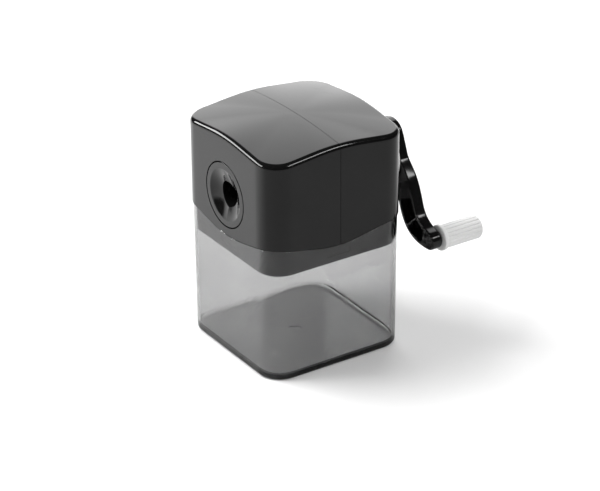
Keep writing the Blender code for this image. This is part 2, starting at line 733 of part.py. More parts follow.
def make_knob(finish):
    edge = 0.4 * MM
    rounding = [(KNOB_RADIUS - KNOB_ROUND * (1 - math.cos(a)), KNOB_BACK - KNOB_ROUND * (1 - math.sin(a)))
                for a in (0, math.pi / 6, math.pi / 3)]
    loops = [flute_loop(KNOB_FLANGE - edge, 0, KNOB_FRONT), flute_loop(KNOB_FLANGE, 0, KNOB_FRONT + edge),
             flute_loop(KNOB_FLANGE, 0, KNOB_FLANGE_BACK - edge),
             flute_loop(KNOB_RADIUS, FLUTE_DEPTH, KNOB_FLANGE_BACK)]
    loops += [flute_loop(radius, FLUTE_DEPTH, y) for radius, y in rounding]
    loops.append(flute_loop(KNOB_RADIUS - KNOB_ROUND, 0, KNOB_BACK))
    knob = loft("knob_grip", loops, finish)
    cut(knob, rod("knob_bore", KNOB_PIN_RADIUS + GAP, knob_point(KNOB_FRONT - MM),
                  knob_point(KNOB_BACK - KNOB_CAP)))


def make_knob_pin(finish):
    tip = KNOB_BACK - KNOB_CAP - GAP
    head_front, head_back = CRANK_FRONT + PIN_HEAD_FRONT, CRANK_FRONT + PIN_HEAD_BACK
    turned("knob_pin", [(0, tip), (KNOB_PIN_RADIUS, tip), (KNOB_PIN_RADIUS, head_back),
                        (PIN_HEAD_RADIUS, head_back), (PIN_HEAD_RADIUS, head_front), (0, head_front)],
           finish, segments=24, centre=knob_point(0))


def screw_mesh(length):
    """Pan-head screw that stands on its head's underside, shank downwards, with a driver slot."""
    bm = bmesh.new()
    for radius, taper, low, high in ((HEAD_RADIUS, HEAD_TAPER, 0, HEAD_HEIGHT),
                                     (SHANK_RADIUS, 1, -length, HEAD_HEIGHT / 4)):
        made = bmesh.ops.create_cone(bm, cap_ends=True, segments=12, radius1=radius,
                                     radius2=radius * taper, depth=high - low)
        bmesh.ops.translate(bm, vec=(0, 0, (low + high) / 2), verts=made["verts"])
    head = finish_mesh(bm, "screw_blank", None)
    slot = box("driver_slot", (-2 * HEAD_RADIUS, -SLOT_HALF, HEAD_HEIGHT - SLOT_DEPTH),
               (2 * HEAD_RADIUS, SLOT_HALF, 2 * HEAD_HEIGHT))
    step = head.modifiers.new("one_body", "BOOLEAN")
    step.operation = "DIFFERENCE"
    step.use_self = True
    step.object = slot
    bpy.context.view_layer.update()
    mesh = bpy.data.meshes.new_from_object(head.evaluated_get(bpy.context.evaluated_depsgraph_get()))
    bpy.data.objects.remove(head)
    bpy.data.objects.remove(slot)
    return mesh


def place_screw(name, mesh, point, direction, finish):
    copy = mesh.copy()
    copy.materials.clear()
    item = add_object(name, copy, finish)
    item.location = point
    item.rotation_euler = UP.rotation_difference(Vector(direction)).to_euler()
    return item


def make_screws(finish):
    long_screw = screw_mesh(CASE_SCREW_LENGTH)
    for name, x, y in corner_places(CASE_SCREW_AT, CASE_SCREW_AT):
        place_screw(f"case_screw_{name}", long_screw, (x, y, DECK_BOTTOM - GAP), (0, 0, -1), finish)
    short_screw = screw_mesh(FRAME_SCREW_LENGTH)
    for name, x, y in corner_places(FRAME_SCREW_X, FRAME_SCREW_Y):
        place_screw(f"frame_screw_{name}", short_screw, (x, y, BASE_TOP + GAP), (0, 0, 1), finish)
    crank_screw = screw_mesh(CRANK_SCREW_LENGTH)
    place_screw("crank_screw", crank_screw, axis_point(CRANK_BACK - SCREW_RECESS_DEPTH + GAP),
                (0, 1, 0), finish)


def parent_to_axis(name, point, children, parent=None):
    """An empty on a joint's axis carries the pieces that move with it."""
    axis = bpy.data.objects.new(name, None)
    PARTS.objects.link(axis)
    axis.location = point
    axis.parent = parent
    if parent is not None:
        axis.matrix_parent_inverse = Matrix.Translation(-Vector(parent["place"]))
    axis["place"] = point
    for child in children:
        item = PARTS.objects[child]
        item.parent = axis
        item.matrix_parent_inverse = Matrix.Translation(-Vector(point))
    return axis


def make_joint_axes():
    head = parent_to_axis("head_lift_axis", (0, 0, EDGE_MIDDLE), (
        "base_frame", "front_case", "rear_case", "pencil_guide", "mechanism_frame", "ring_gear",
        "front_bush", "rear_bush", "rear_collar"))
    crank = parent_to_axis("crank_axis", (0, CRANK_FRONT, PENCIL_Z), (
        "cutter_carrier", "cutter_pin", "crank_shaft", "thrust_washer", "shaft_clip", "crank_arm",
        "crank_screw", "knob_pin"), head)
    parent_to_axis("cutter_axis", tuple(cutter_point(CUTTER_FRONT)), ("cutter", "cutter_pinion"), crank)
    parent_to_axis("knob_axis", (KNOB_X, KNOB_FRONT, PENCIL_Z - KNOB_DROP), ("knob_grip",), crank)


def main():
    black = material("case_plastic", (0.012, 0.012, 0.013), 0.15)
    satin_black = material("frame_plastic", (0.015, 0.015, 0.016), 0.35)
    crank_black = material("crank_plastic", (0.01, 0.01, 0.011), 0.12)
    grey = material("grey_plastic", (0.62, 0.62, 0.62), 0.4)
    frame_grey = material("mechanism_plastic", (0.1, 0.1, 0.1), 0.5)
    steel = material("steel", (0.55, 0.55, 0.56), 0.3, 1.0)
    brass = material("brass", (0.6, 0.45, 0.2), 0.3, 1.0)
    die_cast = material("die_cast", (0.4, 0.4, 0.41), 0.45, 1.0)

    make_bin()
    make_base_frame(satin_black)
    make_case("front", -1, black)
    make_case("rear", 1, black)
    make_pencil_guide(black)
    make_mechanism_frame(frame_grey)
    make_ring_gear(steel)
    make_bushes(brass)
    make_carrier(die_cast)
    make_cutter(steel)
    make_pinion(steel)
    leaning_rod("cutter_pin", PIN_RADIUS, NOSE_FRONT + 2 * GAP, TAIL_BACK - MM, steel)
    make_shaft(steel)
    make_shaft_rings(steel)
    make_collar(grey)
    make_crank(crank_black)
    make_knob_pin(crank_black)
    make_knob(grey)
    make_screws(steel)
    make_joint_axes()


main()
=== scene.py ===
"""Fine surfaces, finishes, light and camera for the desk pencil sharpener.

Metres, +Z up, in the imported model's frame: the pencil goes in at the front,
-Y, and the crank turns at the rear about the pencil's axis.
"""
import json
import math

import bmesh
import bpy
from mathutils import Matrix, Vector


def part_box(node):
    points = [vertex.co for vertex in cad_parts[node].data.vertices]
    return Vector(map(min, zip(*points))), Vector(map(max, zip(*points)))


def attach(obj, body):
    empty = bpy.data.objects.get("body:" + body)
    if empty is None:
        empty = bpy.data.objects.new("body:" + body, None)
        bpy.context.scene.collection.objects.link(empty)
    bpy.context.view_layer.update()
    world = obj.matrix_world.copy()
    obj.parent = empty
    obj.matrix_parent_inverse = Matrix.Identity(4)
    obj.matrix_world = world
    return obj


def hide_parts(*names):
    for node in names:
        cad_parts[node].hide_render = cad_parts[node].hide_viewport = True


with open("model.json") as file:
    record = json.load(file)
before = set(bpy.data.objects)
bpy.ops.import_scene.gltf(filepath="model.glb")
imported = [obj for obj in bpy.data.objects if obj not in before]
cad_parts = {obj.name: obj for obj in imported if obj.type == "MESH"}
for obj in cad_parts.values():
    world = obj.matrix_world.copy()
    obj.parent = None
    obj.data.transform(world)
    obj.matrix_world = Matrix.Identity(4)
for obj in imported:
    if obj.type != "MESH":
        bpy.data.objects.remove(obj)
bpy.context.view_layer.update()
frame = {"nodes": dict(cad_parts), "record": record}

MM = 0.001
UP = Vector((0, 0, 1))

# Body: some sizes read from the imported pieces by part_box, the rest given.
CASE_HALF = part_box("rear_case")[1][0]
DOME_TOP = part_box("rear_case")[1][2]
BIN_HALF_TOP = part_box("shavings_bin")[1][0]
SKIRT_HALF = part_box("base_frame")[1][0]
SKIRT_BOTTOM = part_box("base_frame")[0][2]
SKIRT_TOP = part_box("base_frame")[1][2]
CASE_CORNER = 12.0 * MM
CASE_WALL = 1.7 * MM
SEAM_GAP = 0.18 * MM
BIN_HALF_BOTTOM = BIN_HALF_TOP - 0.4 * MM
BIN_WALL = 1.25 * MM
BIN_FLOOR = 2.0 * MM
BIN_EDGE = 1.8 * MM
BIN_INNER_FILLET = 2.4 * MM
GATE_MARK_RADIUS = 2.6 * MM
GATE_MARK_DEPTH = 0.25 * MM
SKIRT_WALL = 1.8 * MM
DECK_BOTTOM = 54.5 * MM
DECK_TOP = 56.5 * MM
CHUTE = (13.0 * MM, -17.5 * MM, 18.0 * MM)
EDGE_MIDDLE = 60.9 * MM
EDGE_RISE = 4.5 * MM
EDGE_GAP = 0.3 * MM
WALL_TOP_MIDDLE = 106.9 * MM
WALL_TOP_FALL = 2.5 * MM
TOP_FILLET = 2.7 * MM
FAR = 80.0 * MM
OPENING_REACH = (30.0 * MM, 42.0 * MM)
POST_AT = 27.0 * MM
POST_RADIUS = 3.3 * MM
POST_TOP = 106.5 * MM
HOLE_RADIUS = 1.6 * MM
POST_HOLE_DEPTH = 12.0 * MM
FRAME_SCREWS = (18.5 * MM, 13.0 * MM)
CATCH_HALF = 6.1 * MM
CATCH_HEIGHTS = (55.4 * MM, 57.6 * MM)
CATCH_DEPTH = 0.5 * MM
FLAT_STEPS = 10
CORNER_STEPS = 14
FILLET_STEPS = 12
DOME_RINGS = 16

# Pencil guide, collar, crank and knob.
PENCIL_Z = (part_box("rear_collar")[0][2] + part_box("rear_collar")[1][2]) / 2
GUIDE_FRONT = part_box("pencil_guide")[0][1]
GUIDE_TUBE_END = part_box("pencil_guide")[1][1]
GUIDE_BACK = -31.0 * MM
GUIDE_RADIUS = 15.15 * MM
GUIDE_SEAT = 15.65 * MM
TUBE_RADIUS = 8.0 * MM
PENCIL_HOLE = 5.9 * MM
DISH_RADIUS = 12.3 * MM
DISH_DEPTH = 1.6 * MM
SCOOP_DEPTH = 1.25 * MM
SCOOPS = 2
RIDGE_ANGLE = math.radians(-85)
COLLAR_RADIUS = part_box("rear_collar")[1][0]
COLLAR_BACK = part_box("rear_collar")[1][1]
COLLAR_FRONT = 37.3 * MM
SPIGOT_RADIUS = 7.9 * MM
SPIGOT_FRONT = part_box("rear_collar")[0][1]
SHAFT_BORE = 3.3 * MM
CRANK_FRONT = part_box("crank_arm")[0][1]
CRANK_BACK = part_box("crank_arm")[1][1]
CRANK_ROUND = 1.4 * MM
CRANK_SKIN = 2.2 * MM
RIM_WIDTH = 1.8 * MM
HUB_HALF = 14.9 * MM
HUB_CORNER = 8.5 * MM
HUB_TURN = math.radians(22)
UPPER_POCKET = (0.26, 0.54)
LOWER_POCKET = (0.58, 0.86)
PIN_HEAD_RECESS = (2.9 * MM, 1.4 * MM)
SCREW_RECESS = (3.6 * MM, 1.9 * MM)
SHAFT_BORE_END = 49.3 * MM
SCREW_HOLE_START = 49.0 * MM
# Middle line of the arm from the hub to the knob, and half its width there.
ARM_LINE = ((6, -2, 9), (16.2, -9.1, 6.9), (20.1, -15.6, 6.5), (22.1, -20.9, 6.4), (24.2, -24.7, 6.4),
            (27, -27.5, 6.2), (30.8, -29.4, 5.7), (34.6, -30.4, 5.0), (38.3, -30.8, 4.5))
KNOB_X = 38.3 * MM
KNOB_Z = PENCIL_Z - 30.8 * MM
KNOB_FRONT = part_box("knob_grip")[0][1]
KNOB_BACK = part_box("knob_grip")[1][1]
KNOB_RADIUS = 5.5 * MM
KNOB_FLANGE = 6.1 * MM
KNOB_FLANGE_WIDTH = 1.8 * MM
KNOB_ROUND = 1.5 * MM
KNOB_BORE = 1.9 * MM
KNOB_CAP = 2.5 * MM
FLUTES = 18
FLUTE_DEPTH = 0.32 * MM

# Finishes and studio.
SMOKE_DENSITY = 300.0
LAMP_THROUGH_SMOKE = 0.55
FLOOR_RADIUS = 7.0
PAPER = 0.83
# Painted shade on the floor: the dark colour that only reflections see on its right half, and where along
# X it fades in.
MIRRORED_SHADE = 0.45
MIRRORED_SHADE_EDGE = (-60 * MM, 50 * MM)
LAMP_TARGET = Vector((0, 0, 80 * MM))
SKY_BASE = 0.04
SKY_FILL = 0.28
SKY_PALE = 0.9

# Camera: where it looks from, as angles round the body, and how narrow its view is.
VIEW_AZIMUTH = math.radians(56.745)
VIEW_ELEVATION = math.radians(27.041)
VIEW_ROLL = math.radians(-0.386)
VIEW_POINT = Vector((940.7, -614.2, 618.3)) * MM
LENS = 166.2
SENSOR = 36.0


# ---------------------------------------------------------------- mesh tools

def finish_mesh(bm, name, sharp=35):
    bmesh.ops.recalc_face_normals(bm, faces=bm.faces)
    mesh = bpy.data.meshes.new(name)
    bm.to_mesh(mesh)
    bm.free()
    item = bpy.data.objects.new(name, mesh)
    bpy.context.scene.collection.objects.link(item)
    smooth(item, sharp)
    return item


def smooth(item, sharp=35):
    item.data.shade_smooth()
    item.data.set_sharp_from_angle(angle=math.radians(sharp))


def skin(name, loops, joined=False):
    """Skin closed loops of equal length. Unless they are joined in a ring, the ends are capped."""
    bm = bmesh.new()
    rings = [[bm.verts.new(point) for point in loop] for loop in loops]
    pairs = list(zip(rings, rings[1:]))
    if joined:
        pairs.append((rings[-1], rings[0]))
    for lower, upper in pairs:
        for i in range(len(lower)):
            j = (i + 1) % len(lower)
            bm.faces.new((lower[i], lower[j], upper[j], upper[i]))
    if not joined:
        bm.faces.new(reversed(rings[0]))
        bm.faces.new(rings[-1])
    return finish_mesh(bm, name)


def settle(item):
    """Apply the object's modifiers."""
    bpy.context.view_layer.update()
    mesh = bpy.data.meshes.new_from_object(item.evaluated_get(bpy.context.evaluated_depsgraph_get()))
    item.modifiers.clear()
    item.data = mesh
    return item


def boolean(item, operation, tools):
    for tool in tools:
        step = item.modifiers.new(tool.name, "BOOLEAN")
        step.operation = operation
        step.solver = "EXACT"
        step.object = tool
    settle(item)
    for tool in tools:
        bpy.data.objects.remove(tool)
    smooth(item)
    return item


def cut(item, *tools):
    return boolean(item, "DIFFERENCE", tools)


def join(item, *tools):
    return boolean(item, "UNION", tools)


def soften(item, width, segments=2, above=50):
    """Round the sharp edges."""
    step = item.modifiers.new("round", "BEVEL")
    step.width = width
    step.segments = segments
    step.limit_method = "ANGLE"
    step.angle_limit = math.radians(above)
    step.harden_normals = False
    step.use_clamp_overlap = True
    settle(item)
    smooth(item, 40)
    return item


def box(name, low, high):
    bm = bmesh.new()
    bmesh.ops.create_cube(bm, size=1.0)
    low, high = Vector(low), Vector(high)
    bmesh.ops.scale(bm, vec=high - low, verts=bm.verts)
    bmesh.ops.translate(bm, vec=(low + high) / 2, verts=bm.verts)
    return finish_mesh(bm, name)


def rod(name, radius, start, end, segments=48):
    start, end = Vector(start), Vector(end)
    run = end - start
    bm = bmesh.new()
    bmesh.ops.create_cone(bm, cap_ends=True, segments=segments, radius1=radius, radius2=radius,
                          depth=run.length)
    turn = UP.rotation_difference(run).to_matrix().to_4x4()
    bmesh.ops.transform(bm, matrix=Matrix.Translation((start + end) / 2) @ turn, verts=bm.verts)
    return finish_mesh(bm, name)


def on_axis(radius, angle, y):
    return (radius * math.cos(angle), y, PENCIL_Z + radius * math.sin(angle))


def circle(radius, y, count=96, start=0.0):
    return [on_axis(radius, start + 2 * math.pi * i / count, y) for i in range(count)]


def arc(centre, radius, start, end, steps):
    """Points of an arc in a plane, angles in degrees."""
    angles = [math.radians(start + (end - start) * i / steps) for i in range(steps + 1)]
    return [(centre[0] + radius * math.cos(a), centre[1] + radius * math.sin(a)) for a in angles]


def true_normals(item):
    """Long faces keep their own normals, so flat walls mirror and refract as flat ones."""
    step = item.modifiers.new("true_normals", "WEIGHTED_NORMAL")
    step.mode = "FACE_AREA"
    step.weight = 50
    step.keep_sharp = True
    return settle(item)


def stand_in(item, body, slot, *nodes):
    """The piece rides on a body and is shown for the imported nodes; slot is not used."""
    true_normals(item)
    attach(item, body)
    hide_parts(*nodes)
    return item


def corner_places(x, y):
    return ((-x, -y), (x, -y), (-x, y), (x, y))


# ------------------------------------------------------- rounded square body

def square_outline(half, corner):
    """Rounded square as (point, outward normal, place): place is 0 in mid-face and 1 at mid-corner."""
    flat = half - corner
    reach = flat + corner * math.pi / 4
    marks = [(half, flat * i / FLAT_STEPS, 0.0, flat * i / FLAT_STEPS) for i in range(FLAT_STEPS)]
    for i in range(CORNER_STEPS + 1):
        angle = math.pi / 2 * i / CORNER_STEPS
        run = flat + corner * min(angle, math.pi / 2 - angle)
        marks.append((flat + corner * math.cos(angle), flat + corner * math.sin(angle), angle, run))
    marks += [(y, x, math.pi / 2, run) for x, y, _, run in reversed(marks[1:FLAT_STEPS])]
    outline = []
    for quarter in range(4):
        turn = quarter * math.pi / 2
        for x, y, angle, run in marks:
            point = Matrix.Rotation(turn, 2) @ Vector((x, y))
            normal = Vector((math.cos(angle + turn), math.sin(angle + turn)))
            outline.append((point, normal, run / reach))
    return outline


def lay(outline, inset, height, shrink=1.0):
    """A loop of the outline drawn in by inset at a height: each is a number or a function of place."""
    points = []
    for point, normal, place in outline:
        step = inset(place) if callable(inset) else inset
        rise = height(place) if callable(height) else height
        flat = (point - normal * step) * shrink
        points.append((flat.x, flat.y, rise))
    return points


def wave(place):
    return (1 - math.cos(math.pi * place)) / 2


def edge_height(offset=0.0):
    return lambda place: EDGE_MIDDLE + EDGE_RISE * wave(place) + offset


def wall_top(place):
    return WALL_TOP_MIDDLE - WALL_TOP_FALL * wave(place)


def dome_loops(outline, half, fillet, top):
    """Fillet and dome over the walls, met without a crease. half is the outline's half width."""
    def fillet_end(place):
        rise = top - wall_top(place) - fillet
        return math.pi / 2 - math.atan(2 * rise / (half - fillet))

    loops = []
    for i in range(FILLET_STEPS + 1):
        share = i / FILLET_STEPS
        loops.append(lay(outline,
                         lambda place: fillet * (1 - math.cos(share * fillet_end(place))),
                         lambda place: wall_top(place) + fillet * math.sin(share * fillet_end(place))))

    def last_inset(place):
        return fillet * (1 - math.cos(fillet_end(place)))

    for i in range(1, DOME_RINGS):
        part = i / DOME_RINGS
        share = 1 - (1 - part) ** 2

        def dome(place):
            start = wall_top(place) + fillet * math.sin(fillet_end(place))
            return start * (1 - share) + top * share

        loops.append(lay(outline, last_inset, dome, 1 - part))
    return loops


def case_skin(name):
    """The whole case as one shell, open at the bottom: outside from the edge up, inside back down."""
    lip = 0.25 * MM
    outer = square_outline(CASE_HALF, CASE_CORNER)
    inner = square_outline(CASE_HALF - CASE_WALL, CASE_CORNER - CASE_WALL)
    outside = [lay(outer, lip, edge_height()), lay(outer, 0, edge_height(lip)),
               lay(outer, 0, lambda place: (edge_height()(place) + wall_top(place)) / 2)]
    outside += dome_loops(outer, CASE_HALF, TOP_FILLET, DOME_TOP)
    inside = [lay(inner, 0, edge_height())]
    inside += dome_loops(inner, CASE_HALF - CASE_WALL, TOP_FILLET - CASE_WALL, DOME_TOP - CASE_WALL)
    return skin(name, list(reversed(inside)) + outside)


def make_case(name, side):
    """side is -1 for the front shell and 1 for the rear one."""
    shell = case_skin(f"{name}_case_shell")
    reach = sorted((side * SEAM_GAP / 2, -side * FAR))
    cut(shell, box("other_half", (-FAR, reach[0], 0), (FAR, reach[1], 2 * FAR)))
    hole = GUIDE_SEAT if side < 0 else SPIGOT_RADIUS + EDGE_GAP
    inside, outside = sorted(side * reach_y for reach_y in OPENING_REACH)
    cut(shell, rod("opening", hole, (0, inside, PENCIL_Z), (0, outside, PENCIL_Z), segments=128))
    soften(shell, 0.06 * MM)
    for x in (-POST_AT, POST_AT):
        y = side * POST_AT
        join(shell, rod("post", POST_RADIUS, (x, y, DECK_TOP + EDGE_GAP), (x, y, POST_TOP)))
        cut(shell, rod("post_hole", HOLE_RADIUS, (x, y, DECK_TOP), (x, y, DECK_TOP + POST_HOLE_DEPTH)))
    return stand_in(shell, "head", "case_plastic", f"{name}_case")


def make_bin():
    corner = CASE_CORNER - (CASE_HALF - BIN_HALF_TOP)
    top, low = square_outline(BIN_HALF_TOP, corner), square_outline(BIN_HALF_BOTTOM, corner)
    lip = 0.35 * MM
    loops = [lay(low, BIN_EDGE + 0.6 * MM, 0.25 * MM), lay(low, BIN_EDGE + 0.3 * MM, 0.0)]
    loops += [lay(low, -x, z) for x, z in arc((-BIN_EDGE, BIN_EDGE), BIN_EDGE, -90, 0, 10)]
    loops += [lay(top, 0, edge_height(-EDGE_GAP - lip))]
    loops += [lay(top, lip * (1 - math.cos(a)), edge_height(-EDGE_GAP - lip * (1 - math.sin(a))))
              for a in (math.pi / 6, math.pi / 3, math.pi / 2)]
    loops += [lay(top, BIN_WALL, edge_height(-EDGE_GAP))]
    radius = BIN_INNER_FILLET
    loops += [lay(low, BIN_WALL + radius + x, z)
              for x, z in arc((0, BIN_FLOOR + radius), radius, 180, 270, 10)]
    item = skin("bin_shell", loops)
    cut(item, rod("gate_mark", GATE_MARK_RADIUS, (0, 0, BIN_FLOOR - GATE_MARK_DEPTH),
                  (0, 0, BIN_FLOOR + MM)))
    return stand_in(item, "bin", "bin_plastic", "shavings_bin")


def make_skirt():
    corner = CASE_CORNER - (CASE_HALF - SKIRT_HALF)
    outline = square_outline(SKIRT_HALF, corner)
    edge = 0.5 * MM
    loops = [lay(outline, SKIRT_WALL, DECK_BOTTOM), lay(outline, SKIRT_WALL, SKIRT_BOTTOM)]
    loops += [lay(outline, -x, z) for x, z in arc((-edge, SKIRT_BOTTOM + edge), edge, -90, 0, 5)]
    loops += [lay(outline, 0, SKIRT_TOP), lay(outline, SKIRT_WALL, SKIRT_TOP),
              lay(outline, SKIRT_WALL, DECK_TOP)]
    item = skin("skirt_frame", loops)
    width, front, back = CHUTE
    holes = [box("chute", (-width, front, DECK_BOTTOM - MM), (width, back, DECK_TOP + MM)),
             rod("guide_relief", GUIDE_SEAT, (0, -SKIRT_HALF - MM, PENCIL_Z), (0, GUIDE_BACK, PENCIL_Z))]
    for x, y in corner_places(POST_AT, POST_AT) + corner_places(*FRAME_SCREWS):
        holes.append(rod("deck_hole", HOLE_RADIUS, (x, y, DECK_BOTTOM - MM), (x, y, DECK_TOP + MM)))
    for quarter in range(4):
        low, high = CATCH_HEIGHTS
        catch = box("catch", (-CATCH_HALF, -SKIRT_HALF - MM, low),
                    (CATCH_HALF, -SKIRT_HALF + CATCH_DEPTH, high))
        catch.rotation_euler = (0, 0, quarter * math.pi / 2)
        holes.append(catch)
    cut(item, *holes)
    soften(item, 0.15 * MM)
    return stand_in(item, "head", "frame_plastic", "base_frame")


# ------------------------------------------------------------- turned pieces

def dish_loop(part, count):
    """A loop of the scooped dish: part runs from 0 at the rim to 1 at the pencil hole."""
    radius = DISH_RADIUS + (PENCIL_HOLE - DISH_RADIUS) * part
    points = []
    for i in range(count):
        lobe = (i * SCOOPS / count) % 1 * 2 - 1
        depth = DISH_DEPTH * part + SCOOP_DEPTH * (1 - lobe ** 2) * math.sin(part * math.pi / 2)
        points.append(on_axis(radius, RIDGE_ANGLE + 2 * math.pi * i / count, GUIDE_FRONT + depth))
    return points


def make_guide():
    count = 192
    edge = 0.35 * MM

    def plain(radius, y):
        return circle(radius, y, count, RIDGE_ANGLE)

    loops = [plain(GUIDE_RADIUS - edge + x, GUIDE_FRONT + edge + y)
             for x, y in arc((0, 0), edge, -90, 0, 4)]
    loops += [plain(GUIDE_RADIUS, GUIDE_BACK), plain(TUBE_RADIUS, GUIDE_BACK),
              plain(TUBE_RADIUS, GUIDE_TUBE_END), plain(PENCIL_HOLE + 0.3 * MM, GUIDE_TUBE_END),
              plain(PENCIL_HOLE, GUIDE_TUBE_END - 0.6 * MM)]
    lip = 0.4 * MM
    throat = dish_loop(1.0, count)
    loops.append([on_axis(PENCIL_HOLE, RIDGE_ANGLE + 2 * math.pi * i / count, throat[i][1] + lip)
                  for i in range(count)])
    steps, gap = 18, 0.03
    loops += [dish_loop(1 - i / steps * (1 - gap) - gap, count) for i in range(steps)]
    loops += [dish_loop(0.0, count), plain(DISH_RADIUS + 0.25 * MM, GUIDE_FRONT)]
    item = skin("guide_dish", loops, joined=True)
    smooth(item, 30)
    return stand_in(item, "head", "guide_plastic", "pencil_guide")


def make_collar():
    edge = 0.7 * MM
    profile = [(COLLAR_RADIUS - edge + x, COLLAR_BACK - edge + y) for x, y in arc((0, 0), edge, 90, 0, 6)]
    profile += [(COLLAR_RADIUS, COLLAR_FRONT + 0.3 * MM), (COLLAR_RADIUS - 0.3 * MM, COLLAR_FRONT),
                (SPIGOT_RADIUS, COLLAR_FRONT), (SPIGOT_RADIUS, SPIGOT_FRONT + 0.3 * MM),
                (SPIGOT_RADIUS - 0.3 * MM, SPIGOT_FRONT), (SHAFT_BORE, SPIGOT_FRONT),
                (SHAFT_BORE, COLLAR_BACK)]
    item = skin("collar_ring", [circle(radius, y) for radius, y in profile], joined=True)
    return stand_in(item, "head", "grey_plastic", "rear_collar")


def flute_loop(radius, depth, y):
    """A round section with narrow lengthwise grooves between wide lands."""
    per_flute = 12
    land = 0.45
    points = []
    for i in range(FLUTES * per_flute):
        place = (i % per_flute) / per_flute * 2 - 1
        groove = max(0.0, (abs(place) - land) / (1 - land))
        inward = depth * (1 - math.cos(math.pi * groove)) / 2
        x, _, z = on_axis(radius - inward, 2 * math.pi * i / (FLUTES * per_flute), y)
        points.append((x + KNOB_X, y, z - PENCIL_Z + KNOB_Z))
    return points


def make_knob():
    edge = 0.45 * MM
    flange_back = KNOB_FRONT + KNOB_FLANGE_WIDTH
    loops = [flute_loop(KNOB_BORE, 0, KNOB_BACK - KNOB_CAP), flute_loop(KNOB_BORE, 0, KNOB_FRONT)]
    loops += [flute_loop(KNOB_FLANGE - edge + x, 0, KNOB_FRONT + edge + y)
              for x, y in arc((0, 0), edge, -90, 0, 5)]
    loops += [flute_loop(KNOB_FLANGE - edge + x, 0, flange_back - edge + y)
              for x, y in arc((0, 0), edge, 0, 90, 5)]
    fade = 0.8 * MM
    loops += [flute_loop(KNOB_RADIUS, 0, flange_back),
              flute_loop(KNOB_RADIUS, FLUTE_DEPTH, flange_back + fade)]
    round_start = KNOB_BACK - KNOB_ROUND
    for x, y in arc((0, 0), KNOB_ROUND, 0, 90, 8):
        depth = FLUTE_DEPTH * (KNOB_BACK - round_start - y) / KNOB_ROUND
        loops.append(flute_loop(KNOB_RADIUS - KNOB_ROUND + x, depth, round_start + y))
    loops += [flute_loop(KNOB_RADIUS * share, 0, KNOB_BACK) for share in (0.6, 0.2)]
    item = skin("knob_body", loops)
    return stand_in(item, "knob", "grey_plastic", "knob_grip")


# ------------------------------------------------------------------ crank

def smooth_line(points, steps):
    """Catmull-Rom curve through the points."""
    padded = [points[0]] + list(points) + [points[-1]]
    curve = []
    for a, b, c, d in zip(padded, padded[1:], padded[2:], padded[3:]):
        for i in range(steps):
            t = i / steps
            curve.append(tuple(0.5 * (2 * q + (r - p) * t + (2 * p - 5 * q + 4 * r - s) * t ** 2
                                      + (3 * q - p - 3 * r + s) * t ** 3)
                               for p, q, r, s in zip(a, b, c, d)))
    curve.append(points[-1])
    return curve


def arm_band(start, end, margin, round_end):
    """Outline of a stretch of the arm, drawn in by a margin, counter-clockwise."""
    line = smooth_line(ARM_LINE, 8)
    last = len(line) - 1
    left, right = [], []
    for i in range(round(start * last), round(end * last) + 1):
        ahead, behind = line[min(i + 1, last)], line[max(i - 1, 0)]
        along = Vector((ahead[0] - behind[0], ahead[1] - behind[1])).normalized()
        side = Vector((-along.y, along.x)) * (line[i][2] * MM - margin)
        middle = Vector(line[i][:2]) * MM
        left.append(middle + side)
        right.append(middle - side)
    cap = []
    if round_end:
        heading = math.degrees(math.atan2(along.y, along.x))
        sweep = 75
        cap = [Vector(p) for p in arc(middle, side.length, heading - sweep, heading + sweep, 10)]
    return right + cap + list(reversed(left))


def hub_outline():
    flat = HUB_HALF - HUB_CORNER
    points = []
    for quarter in range(4):
        turn = math.degrees(HUB_TURN) + 90 * quarter
        middle = math.radians(turn + 45)
        centre = Vector((math.cos(middle), math.sin(middle))) * math.hypot(flat, flat)
        points += [Vector(p) for p in arc(centre, HUB_CORNER, turn, turn + 90, 12)]
    return points


def resample(outline, spacing):
    """The closed outline with its points evenly spaced."""
    total = sum((b - a).length for a, b in zip(outline, outline[1:] + outline[:1]))
    count = round(total / spacing)
    step = total / count
    points, travelled, due = [], 0.0, 0.0
    for a, b in zip(outline, outline[1:] + outline[:1]):
        length = (b - a).length
        while length and due <= travelled + length and len(points) < count:
            points.append(a.lerp(b, (due - travelled) / length))
            due += step
        travelled += length
    return points


def relax(outline, passes):
    for _ in range(passes):
        outline = [(outline[i - 1] + outline[i] * 2 + outline[(i + 1) % len(outline)]) / 4
                   for i in range(len(outline))]
    return outline


def holds(outline, point):
    """True if the point is inside the outline."""
    inside = False
    for a, b in zip(outline, outline[1:] + outline[:1]):
        if (a.y > point.y) != (b.y > point.y):
            inside ^= point.x < a.x + (b.x - a.x) * (point.y - a.y) / (b.y - a.y)
    return inside


def merge(first, second):
    """One outline round two counter-clockwise outlines that cross twice."""
    merged = []
    for one, other in ((first, second), (second, first)):
        outside = [not holds(other, point) for point in one]
        start = next(i for i in range(len(one)) if outside[i] and not outside[i - 1])
        turned = one[start:] + one[:start]
        merged += turned[:sum(outside)]
    return merged


def inward(outline, distance):
    points = []
    for i, point in enumerate(outline):
        along = (outline[(i + 1) % len(outline)] - outline[i - 1]).normalized()
        points.append(point + Vector((-along.y, along.x)) * distance)
    return points


def standing(outline, y):
    """The crank's plane outline as a loop of points at a place along Y."""
    return [(point.x, y, PENCIL_Z + point.y) for point in outline]


def pocket(name, start, end, depth_y):
    outline = relax(resample(arm_band(start, end, RIM_WIDTH, False), 0.5 * MM), 6)
    foot = 0.5 * MM
    return skin(name, [standing(outline, CRANK_FRONT - MM), standing(outline, depth_y - foot),
                       standing(inward(outline, 0.3 * foot), depth_y - 0.3 * foot),
                       standing(inward(outline, foot), depth_y)])


